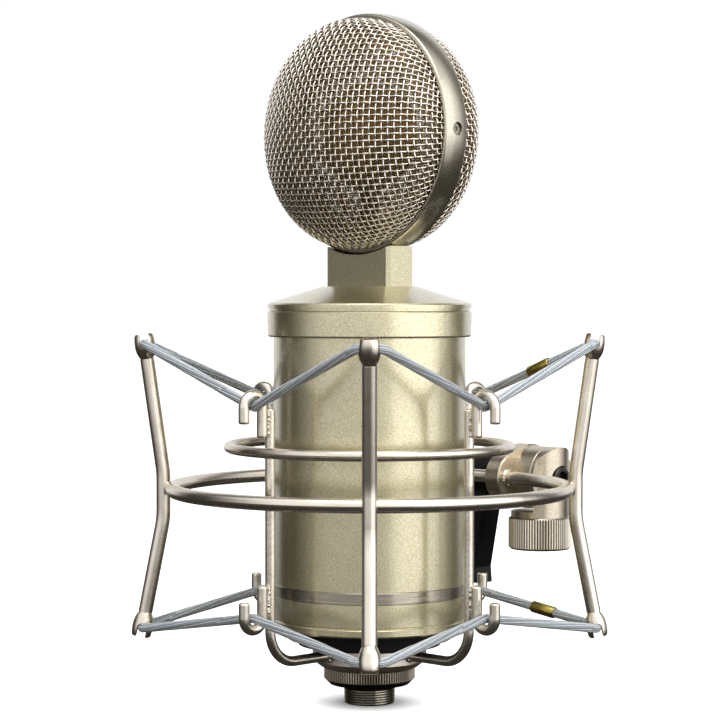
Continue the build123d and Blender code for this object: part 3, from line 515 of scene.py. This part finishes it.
def wires(routes, radius, ring, widths=None):
    """Round wire along each route of points, as one mesh. ring adds sides to a square wire."""
    curve = bpy.data.curves.new("wire", "CURVE")
    curve.dimensions = "3D"
    curve.bevel_depth = radius
    curve.bevel_resolution = ring
    curve.use_fill_caps = True
    for route, width in zip(routes, widths or [1] * len(routes)):
        spline = curve.splines.new("POLY")
        spline.points.add(len(route) - 1)
        for point, place in zip(spline.points, route):
            point.co = (*place, 1)
            point.radius = width
    holder = bpy.data.objects.new("wire", curve)
    mesh = bpy.data.meshes.new_from_object(holder)
    bpy.data.objects.remove(holder)
    return mesh


# ---- grilles --------------------------------------------------------------------------------

MOUTH = 40.2 * MM  # radius of the ring's mouth, where the mesh goes in
KNUCKLE = 14.0 * MM  # radius of the dome's shoulder
SKIRT = 2.0 * MM  # straight wall between the ring's lip and the shoulder
MOUTH_PLAY = 0.1 * MM
MESH_PITCH = 2.2 * MM
MESH_WIRE = 0.3 * MM  # radius
MESH_CRIMP = 0.25 * MM  # how far a wire swings to each side of the weave's middle
MESH_STEP = MESH_PITCH / 4  # between the points along a wire
# Real gauze has wires about 0.3 mm apart. This is drawn coarser, so that it shows.
GAUZE_PITCH = 0.7 * MM
GAUZE_WIRE = 0.15 * MM
GAUZE_STEP = 2.0 * MM
GAUZE_DEPTH = 1.35 * MM  # from the grille's outer face
TUCK = 1.2 * MM  # how far the mesh goes in behind the lip


def head_centre():
    low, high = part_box("head_ring")
    return Vector((0, 0, (low.z + high.z) / 2))


def dome_run(inset):
    """A pressed dome, inset from the grille's face. Returns its length from middle to foot, and
    what gives radius, height and slope at a distance from its middle."""
    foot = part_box("head_ring")[1].y
    base, top = MOUTH - MOUTH_PLAY, -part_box("front_grille")[0].y
    shoulder_radius, shoulder_height = base - KNUCKLE, foot + SKIRT
    drop = top - shoulder_height
    crown = (drop ** 2 + shoulder_radius ** 2 - KNUCKLE ** 2) / (2 * (drop - KNUCKLE))
    middle = top - crown
    turn = math.atan2(shoulder_radius, shoulder_height - middle)
    crown_end = (crown - inset) * turn
    shoulder_end = crown_end + (KNUCKLE - inset) * (math.pi / 2 - turn)

    def place(run):
        if run < crown_end:
            slope = run / (crown - inset)
            height = middle + (crown - inset) * math.cos(slope)
            return (crown - inset) * math.sin(slope), height, slope
        if run < shoulder_end:
            slope = turn + (run - crown_end) / (KNUCKLE - inset)
            radius = shoulder_radius + (KNUCKLE - inset) * math.sin(slope)
            return radius, shoulder_height + (KNUCKLE - inset) * math.cos(slope), slope
        return base - inset, shoulder_height - (run - shoulder_end), math.pi / 2

    return shoulder_end + SKIRT + TUCK, place


def mesh_wires(side, inset, pitch, crimp, step):
    """Both sets of wires of a mesh pressed into a dome. A wire goes over one and under the next."""
    centre = head_centre()
    length, place = dome_run(inset)
    count = int(length / pitch)
    routes = []
    for across in (True, False):
        for n in range(-count, count + 1):
            offset = n * pitch
            half = math.sqrt(max(length ** 2 - offset ** 2, 0))
            steps = max(2, round(2 * half / step))
            route = []
            for k in range(steps + 1):
                along = half * (2 * k / steps - 1)
                radius, height, slope = place(math.hypot(offset, along))
                lift = crimp * math.cos(math.pi * (along / pitch + n)) * (1 if across else -1)
                radius += lift * math.sin(slope)
                height += lift * math.cos(slope)
                turn = math.atan2(offset, along) if across else math.atan2(along, offset)
                route.append(centre + Vector((
                    radius * math.cos(turn), side * height, radius * math.sin(turn))))
            if half > pitch / 2:
                routes.append(route)
    return routes


for half_name, side in (("front", -1), ("rear", 1)):
    weave = mesh_wires(side, MESH_WIRE + MESH_CRIMP, MESH_PITCH, MESH_CRIMP, MESH_STEP)
    piece(half_name + "_woven_grille", wires(weave, MESH_WIRE, ring=1), MESH_STEEL,
          "inner_cage", [half_name + "_grille"])
    gauze = mesh_wires(side, GAUZE_DEPTH, GAUZE_PITCH, 0, GAUZE_STEP)
    piece(half_name + "_gauze", wires(gauze, GAUZE_WIRE, ring=0), GAUZE_BRONZE,
          "inner_cage", [half_name + "_inner_mesh"])


# ---- head ring and cage tips ----------------------------------------------------------------

RING_CROWN = 0.4 * MM  # rise of the band's middle over its edges
RING_BEVEL = 0.9 * MM
BEVEL_STEPS = 4
BAND_STEPS = 6  # from the band's middle to its edge
RING_STEPS = 160
LIP_DEPTH = 1.0 * MM
LIP_LAND = 3.0 * MM  # width of the seat that the mesh stands on
POCKET = 2.25 * MM  # radius of the hole that a screw's head sits in
POCKET_DEPTH = 2.2 * MM
SHARP_EDGE = math.radians(32)
TIP_PROFILE = (  # radius and height in mm, from the neck's end up
    (0, -0.9), (2.3, -0.9), (2.35, -0.4), (2.8, 0.3), (3.3, 1.5), (3.6, 2.9), (3.7, 4.2),
    (3.66, 5.6), (3.5, 6.9), (3.34, 7.6), (3.1, 8.0), (2.7, 8.2), (0, 8.2),
)
TIP_STEPS = 48
TIP_NECK = 0.8 * MM  # from the post's end to the tip's foot
SLOT = 1.7 * MM  # half width
SLOT_FLOOR = 4.8 * MM
CUTTER = 20 * MM  # long enough to go right through a tip
POST_ENDS = {  # radius and height where the post starts to lean, and of its end, in mm
    "upper": ((72.3, 81.0), (77.9, 120.6)),
    "lower": ((72.3, 65.0), (78.7, 32.0)),
}


def lathe(profile, steps):
    """Shape turned about Z from pairs of radius and height."""
    shape = bmesh.new()
    corners = [shape.verts.new((radius, 0, height)) for radius, height in profile]
    edges = [shape.edges.new(pair) for pair in zip(corners, corners[1:])]
    bmesh.ops.spin(shape, geom=corners + edges, axis=(0, 0, 1), angle=2 * math.pi,
                   steps=steps, use_merge=True)
    bmesh.ops.remove_doubles(shape, verts=shape.verts, dist=MERGE)
    bmesh.ops.recalc_face_normals(shape, faces=shape.faces)
    return shape


def cut(mesh, cutter):
    """One mesh with the other cut out of it."""
    body, tool = (bpy.data.objects.new("cut", m) for m in (mesh, cutter))
    for part in (body, tool):
        bpy.context.scene.collection.objects.link(part)
    trim = body.modifiers.new("trim", "BOOLEAN")
    trim.operation = "DIFFERENCE"
    trim.solver = "EXACT"
    trim.object = tool
    made = bpy.data.meshes.new_from_object(
        body.evaluated_get(bpy.context.evaluated_depsgraph_get()))
    for part in (body, tool):
        bpy.data.objects.remove(part)
    return made


def crowned_ring():
    """The head's ring, with its band a little crowned and a screw pocket at each side."""
    radius, half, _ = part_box("head_ring")[1]
    seat, band = half - LIP_DEPTH, half - RING_BEVEL
    edge = [(MOUTH - LIP_LAND, -seat), (MOUTH, -seat), (MOUTH, -half)]
    for k in range(BEVEL_STEPS + 1):
        turn = math.pi / 2 * k / BEVEL_STEPS
        edge.append((radius - RING_BEVEL * (1 - math.sin(turn)) - RING_CROWN,
                     -half + RING_BEVEL * (1 - math.cos(turn))))
    profile = edge + [(radius - RING_CROWN * (k / BAND_STEPS) ** 2, band * k / BAND_STEPS)
                      for k in range(1 - BAND_STEPS, BAND_STEPS)]
    profile += [(x, -y) for x, y in reversed(edge)]
    shape = lathe(profile + profile[:1], RING_STEPS)
    pockets = bmesh.new()
    for side in (-1, 1):
        bmesh.ops.create_cone(
            pockets, cap_ends=True, segments=40, radius1=POCKET, radius2=POCKET,
            depth=2 * POCKET_DEPTH, matrix=Matrix.Translation((0, side * radius, 0))
            @ Matrix.Rotation(math.pi / 2, 4, "X"))
    ring = cut(solid(shape, "ring"), solid(pockets, "pockets"))
    ring.transform(Matrix.Rotation(math.pi / 2, 4, "Z"))
    ring.transform(Matrix.Translation(head_centre()) @ Matrix.Rotation(math.pi / 2, 4, "X"))
    return ring


def slotted_tip():
    """Barrel-shaped tip, standing on Z, with the slot that its cord lies in."""
    shape = lathe([(radius * MM, height * MM) for radius, height in TIP_PROFILE], TIP_STEPS)
    way = bmesh.new()
    bmesh.ops.create_cube(way, size=1, matrix=Matrix.Translation((0, 0, SLOT_FLOOR + CUTTER / 4))
                          @ Matrix.Diagonal((2 * SLOT, CUTTER, CUTTER / 2, 1)))
    groove = bmesh.new()
    bmesh.ops.create_cone(groove, cap_ends=True, segments=32, radius1=SLOT, radius2=SLOT,
                          depth=CUTTER, matrix=Matrix.Translation((0, 0, SLOT_FLOOR))
                          @ Matrix.Rotation(math.pi / 2, 4, "X"))
    return cut(cut(solid(shape, "tip"), solid(way, "slot")), solid(groove, "groove"))


ring_mesh = crowned_ring()
piece("crowned_head_ring", ring_mesh, RING_LACQUER, "inner_cage", ["head_ring"])
ring_mesh.set_sharp_from_angle(angle=SHARP_EDGE)
one_tip = slotted_tip()
for level, ends in POST_ENDS.items():
    shape = bmesh.new()
    for angle in DIAGONALS:
        kink, end = (around(radius * MM, angle, height * MM) for radius, height in ends)
        lean = (end - kink).normalized()
        tangent = around(1, angle + 90)
        stand = Matrix((tangent.cross(lean), tangent, lean)).transposed().to_4x4()
        count = len(shape.verts)
        shape.from_mesh(one_tip)
        bmesh.ops.transform(
            shape, verts=shape.verts[count:],
            matrix=Matrix.Translation(end + lean * TIP_NECK) @ stand)
    tips = solid(shape, level + "_tips")
    piece(level + "_barrel_tips", tips, TIP_STEEL, "outer_cage", [level + "_tips"])
    tips.set_sharp_from_angle(angle=SHARP_EDGE)


# ---- elastic loops --------------------------------------------------------------------------

CORD = 1.6 * MM  # radius
# how pale each strand is round the cord, from the core's slate grey at 0 to white at 1
STRAND_TONES = (1.0, 0.55, 0.9, 0.4, 0.8, 0.6, 1.0, 0.45, 0.85, 0.6, 0.95, 0.4)
CORE_TONE = 0.0
STRANDS = len(STRAND_TONES)
STRAND = 0.36 * MM  # radius. Real strands are finer, and would not show.
LEAD = 130.0 * MM  # along the cord for one turn of a strand
STATION = 0.75 * MM  # between the points along a strand
ARC_STEPS = 8
HOOK_CIRCLE = 54.9 * MM
CRIMPED_SPAN = 1  # eighth of the circle where the loop's ends are crimped together
TIP_HALF = 4.0 * MM  # from a tip's middle to the corner at its side
HOOK_BEND, TIP_BEND = 3.75 * MM, 4.4 * MM  # radius that the cord bends to
# hook corner height, then radius and height of the tips' slots
LOOPS = {
    "upper": (105.64 * MM, 78.684 * MM, 126.145 * MM),
    "lower": (35.01 * MM, 79.766 * MM, 26.502 * MM),
}


def loop_corners(hook_z, tip_radius, tip_z):
    """Corners of an elastic loop: one at each hook, and two at each tip."""
    corners = []
    for angle in QUARTERS:
        tip = around(tip_radius, angle + 45, tip_z)
        aside = around(TIP_HALF, angle + 135)
        corners += [around(HOOK_CIRCLE, angle, hook_z), tip - aside, tip + aside]
    return corners


def rounded(corners, bends):
    """Closed route through the corners, turned by an arc at each."""
    route = []
    for n, (corner, bend) in enumerate(zip(corners, bends)):
        before = (corners[n - 1] - corner).normalized()
        after = (corners[(n + 1) % len(corners)] - corner).normalized()
        half = before.angle(after) / 2
        centre = corner + (before + after).normalized() * (bend / math.sin(half))
        spoke = corner + before * (bend / math.tan(half)) - centre
        axis = after.cross(before).normalized()
        turn = math.pi - 2 * half
        for k in range(ARC_STEPS + 1):
            route.append(centre + Matrix.Rotation(turn * k / ARC_STEPS, 3, axis) @ spoke)
    return route


def spaced(route, step):
    """Evenly spaced points and directions along a closed route, and its length."""
    ends = route[1:] + route[:1]
    lengths = [(b - a).length for a, b in zip(route, ends)]
    total = sum(lengths)
    count = round(total / step)
    stations, n, done = [], 0, 0.0
    for k in range(count):
        target = total * k / count
        while done + lengths[n] < target:
            done += lengths[n]
            n += 1
        way = (ends[n] - route[n]).normalized()
        stations.append((route[n] + way * (target - done), way))
    return stations, total


def stranded(route):
    """Elastic cord: strands laid round a core in a long slow twist. Returns one mesh for each
    eighth of the circle, each the span between a tip and a hook."""
    stations, total = spaced(route, STATION)
    turns = round(total / LEAD)
    count = len(stations)
    lines = []
    for strand in range(STRANDS):
        line = []
        for k, (place, along) in enumerate(stations):
            turn = 2 * math.pi * (turns * k / count + strand / STRANDS)
            side = along.cross(UP).normalized()
            over = side.cross(along)
            line.append(place + (side * math.cos(turn) + over * math.sin(turn)) * (CORD - STRAND))
        lines.append(line)
    lines.append([place for place, _ in stations])
    widths = [1] * STRANDS + [(CORD - STRAND) / STRAND]
    sectors = [int(math.degrees(math.atan2(place.y, place.x)) % 360 // 45)
               for place, _ in stations]
    spans = []
    for eighth in range(8):
        first = next(k for k in range(count)
                     if sectors[k] == eighth and sectors[k - 1] != eighth)
        size = sectors.count(eighth)
        span = wires([[line[(first + k) % count] for k in range(size + 1)] for line in lines],
                     STRAND, ring=1, widths=widths)
        tones = span.attributes.new("strand_tone", "FLOAT", "POINT")
        each = len(span.vertices) // len(lines)
        for n, tone in enumerate((*STRAND_TONES, CORE_TONE)):
            for k in range(n * each, (n + 1) * each):
                tones.data[k].value = tone
        spans.append(span)
    return spans


def pliant(node):
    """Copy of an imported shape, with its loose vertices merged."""
    shape = bmesh.new()
    shape.from_mesh(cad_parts[node].data)
    bmesh.ops.remove_doubles(shape, verts=shape.verts, dist=MERGE)
    return solid(shape, node)


for level, (hook_z, tip_radius, tip_z) in LOOPS.items():
    corners = loop_corners(hook_z, tip_radius, tip_z)
    route = rounded(corners, [HOOK_BEND, TIP_BEND, TIP_BEND] * 4)
    for eighth, span in enumerate(stranded(route)):
        parts = [piece(f"{level}_elastic_span_{eighth + 1}", span, ELASTIC,
                       stands_for=[level + "_elastic"])]
        if eighth == CRIMPED_SPAN:
            parts.append(piece(level + "_crimp_sleeve", pliant(level + "_crimp"), CRIMP_BRASS,
                               stands_for=[level + "_crimp"]))
        for part in parts:
            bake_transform(part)


# ---- lever spring ---------------------------------------------------------------------------

# The handle, pulled out to be set round, squeezes its spring against the screw's head.
spring = piece("coiled_lever_spring", pliant("lever_spring"), SPRING_STEEL,
               stands_for=["lever_spring"])
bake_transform(spring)


# ---- welds ----------------------------------------------------------------------------------

POST_CIRCLE = 47.2 * MM
POST_WIRE = 1.75 * MM  # radius
POST_TOP = 104.7 * MM
INNER_RING_INSET, INNER_RING_Z = 1.0 * MM, 90.0 * MM
HOOK_SEAM = POST_CIRCLE + POST_WIRE
UPPER_SEAM = (95.9 * MM, 103.4 * MM)
LOWER_SEAM = (36.5 * MM, 45.3 * MM)
OUTER_JOINT, OUTER_RING_Z = 70.6 * MM, 75.4 * MM
OUTER_RING_CIRCLE = 69.0 * MM
LUG_FACE = 3.6 * MM
FOOT_RADIUS, FOOT_Z = 20.3 * MM, 18.6 * MM

# A seam round a joint: its radius, the radius of a drop, and the drops in it.
INNER_RING_BEAD = (1.75 * MM, 0.55 * MM, 12)
FOOT_BEAD = (1.9 * MM, 0.6 * MM, 14)
OUTER_POST_BEAD = (2.35 * MM, 0.7 * MM, 16)
LUG_BEAD = (2.55 * MM, 0.75 * MM, 16)
HOOK_DROP, HOOK_DROP_GAP = 0.55 * MM, 0.8 * MM
HOOK_GROOVE = 1.15 * MM  # from the seam's middle to each side of it
CAP_DROP, CAP_SPREAD, CAP_SINK = 0.75 * MM, 0.8 * MM, 0.5 * MM  # melted end of a post
UNEVEN = 0.12  # mm that a drop strays
DROP_SIZES = (0.85, 1.15)
MELT = 0.24 * MM


def seam_round(centre, axis, radius, size, count):
    """Places round a circle."""
    side = axis.cross(UP if abs(axis.z) < 0.9 else Vector((1, 0, 0))).normalized()
    return [(centre + Matrix.Rotation(2 * math.pi * k / count, 3, axis) @ side * radius, size)
            for k in range(count)]


def seam_up(angle, low, high):
    """Places up both sides of the groove between a post and a hook's leg."""
    count = round((high - low) / HOOK_DROP_GAP)
    return [(around(HOOK_SEAM, angle, low + (high - low) * k / count) + around(side, angle + 90),
             HOOK_DROP)
            for side in (-HOOK_GROOVE, HOOK_GROOVE) for k in range(count + 1)]


def weld(name, places, body, seed):
    """Beads run along the joints: overlapping drops, melted into one skin."""
    draw = random.Random(seed)
    shape = bmesh.new()
    for place, size in places:
        stray = Vector([draw.uniform(-UNEVEN, UNEVEN) for _ in range(3)]) * MM
        bmesh.ops.create_icosphere(
            shape, subdivisions=2, radius=size * draw.uniform(*DROP_SIZES),
            matrix=Matrix.Translation(place + stray))
    drops = bpy.data.objects.new(name, solid(shape, name))
    bpy.context.scene.collection.objects.link(drops)
    melt = drops.modifiers.new("melt", "REMESH")
    melt.mode = "VOXEL"
    melt.voxel_size = MELT
    settle = drops.modifiers.new("settle", "SMOOTH")
    settle.iterations = 2
    skin = bpy.data.meshes.new_from_object(
        drops.evaluated_get(bpy.context.evaluated_depsgraph_get()))
    bpy.data.objects.remove(drops)
    piece(name, skin, WELD_STEEL, body)


inner_welds = []
for angle in QUARTERS:
    outwards = around(1, angle)
    joint = around(POST_CIRCLE + INNER_RING_INSET, angle, INNER_RING_Z)
    inner_welds += seam_round(joint, outwards, *INNER_RING_BEAD)
    inner_welds += seam_up(angle, *UPPER_SEAM)
    inner_welds += seam_up(angle, *LOWER_SEAM)
    inner_welds += seam_round(around(FOOT_RADIUS, angle, FOOT_Z), outwards, *FOOT_BEAD)
    cap = around(POST_CIRCLE, angle, POST_TOP - CAP_SINK)
    inner_welds += [(cap + around(CAP_SPREAD, turn), CAP_DROP) for turn in range(0, 360, 60)]
weld("inner_cage_welds", inner_welds, "inner_cage", seed=3)

outer_welds = []
for angle in DIAGONALS:
    joint = around(OUTER_JOINT, angle, OUTER_RING_Z)
    outer_welds += seam_round(joint, around(1, angle), *OUTER_POST_BEAD)
for side in (-1, 1):
    entry = Vector((side * LUG_FACE, OUTER_RING_CIRCLE, OUTER_RING_Z))
    outer_welds += seam_round(entry, Vector((1, 0, 0)), *LUG_BEAD)
weld("outer_cage_welds", outer_welds, "outer_cage", seed=5)


# ---- cable connector ------------------------------------------------------------------------

THREAD_PITCH = 0.85 * MM
THREAD_DEPTH = 0.5 * MM
THREAD_CREST = 8.95 * MM
THREAD_LOW, THREAD_HIGH = 0.35 * MM, 5.2 * MM
END_BEVEL = 0.75 * MM  # from the thread's crest in to the barrel's end
UNDERCUT = 0.05 * MM  # from the thread's top to the neck
NECK_HIGH = 6.9 * MM
SHELL_BORE = 7.2 * MM
# one tooth: how far up from root to crest, and how far along the pitch
TOOTH = ((0, 0.0), (0, 0.14), (1, 0.34), (1, 0.80), (0, 1.0))
TURN_STEPS = 72
SPARE_TURNS = 2  # cut off again, so that the thread runs out at both ends
THREAD_EDGE = math.radians(25)


def closed_in(shape, height, rings):
    """Runs the open rim at a height on through rings, each of a radius and a height."""
    rim = [edge for edge in shape.edges if edge.is_boundary
           and all(abs(corner.co.z - height) < 1e-7 for corner in edge.verts)]
    for radius, level in rings:
        made = bmesh.ops.extrude_edge_only(shape, edges=rim)["geom"]
        corners = {item for item in made if isinstance(item, bmesh.types.BMVert)}
        for corner in corners:
            flat = Vector((corner.co.x, corner.co.y, 0)).normalized() * radius
            corner.co = (flat.x, flat.y, level)
        rim = [item for item in made if isinstance(item, bmesh.types.BMEdge)
               and all(corner in corners for corner in item.verts)]


def threaded_barrel():
    """The connector's end: a helical thread, spun up from one tooth, with its bore closed in."""
    root = THREAD_CREST - THREAD_DEPTH
    turns = math.ceil(THREAD_HIGH / THREAD_PITCH) + SPARE_TURNS
    shape = bmesh.new()
    corners = [shape.verts.new((root + THREAD_DEPTH * rise, 0, (share - 1.5) * THREAD_PITCH))
               for rise, share in TOOTH]
    edges = [shape.edges.new(pair) for pair in zip(corners, corners[1:])]
    bmesh.ops.spin(
        shape, geom=corners + edges, axis=(0, 0, 1), dvec=(0, 0, THREAD_PITCH / TURN_STEPS),
        angle=2 * math.pi * turns, steps=TURN_STEPS * turns)
    bmesh.ops.remove_doubles(shape, verts=shape.verts, dist=2 * MERGE)
    for height, way in ((THREAD_LOW, -1), (THREAD_HIGH, 1)):
        bmesh.ops.bisect_plane(
            shape, geom=shape.verts[:] + shape.edges[:] + shape.faces[:],
            plane_co=(0, 0, height), plane_no=(0, 0, way), clear_outer=True)
    closed_in(shape, THREAD_LOW, ((THREAD_CREST - END_BEVEL, 0), (SHELL_BORE, 0)))
    closed_in(shape, THREAD_HIGH, (
        (root, THREAD_HIGH + UNDERCUT), (root, NECK_HIGH), (SHELL_BORE, NECK_HIGH)))
    bmesh.ops.bridge_loops(shape, edges=[edge for edge in shape.edges if edge.is_boundary])
    bmesh.ops.recalc_face_normals(shape, faces=shape.faces)
    return solid(shape, "barrel")


barrel = threaded_barrel()
piece("threaded_connector_end", barrel, CONNECTOR_NICKEL, "inner_cage",
      ["connector_shell"])
barrel.set_sharp_from_angle(angle=THREAD_EDGE)


# ---- capsule leads --------------------------------------------------------------------------

LEAD_WIRE = 0.45 * MM  # radius
# points in mm from the head's middle
RED_ROUTE = ((0, -6.3, 0), (-2, -9, -5), (-7, -8, -14), (-8, -7, -22), (-4, -5, -30),
             (-1.5, -2, -36), (-1.2, 0, -41))
BLUE_ROUTE = ((5, -6.6, -14.5), (5, -8, -19), (2, -7, -24), (3, -4, -30), (1.5, -1, -36),
              (1.2, 0, -41))


def lead(name, points, finish):
    """Insulated wire along a smooth line."""
    curve = bpy.data.curves.new(name, "CURVE")
    curve.dimensions = "3D"
    curve.bevel_depth = LEAD_WIRE
    curve.bevel_resolution = 3
    curve.use_fill_caps = True
    spline = curve.splines.new("NURBS")
    spline.points.add(len(points) - 1)
    for point, place in zip(spline.points, points):
        point.co = (*(head_centre() + Vector(place) * MM), 1)
    spline.order_u = 3
    spline.use_endpoint_u = True
    holder = bpy.data.objects.new(name, curve)
    mesh = bpy.data.meshes.new_from_object(holder)
    bpy.data.objects.remove(holder)
    piece(name, mesh, finish, "inner_cage")


lead("capsule_lead_red", RED_ROUTE, LEAD_RED)
lead("capsule_lead_blue", BLUE_ROUTE, LEAD_BLUE)
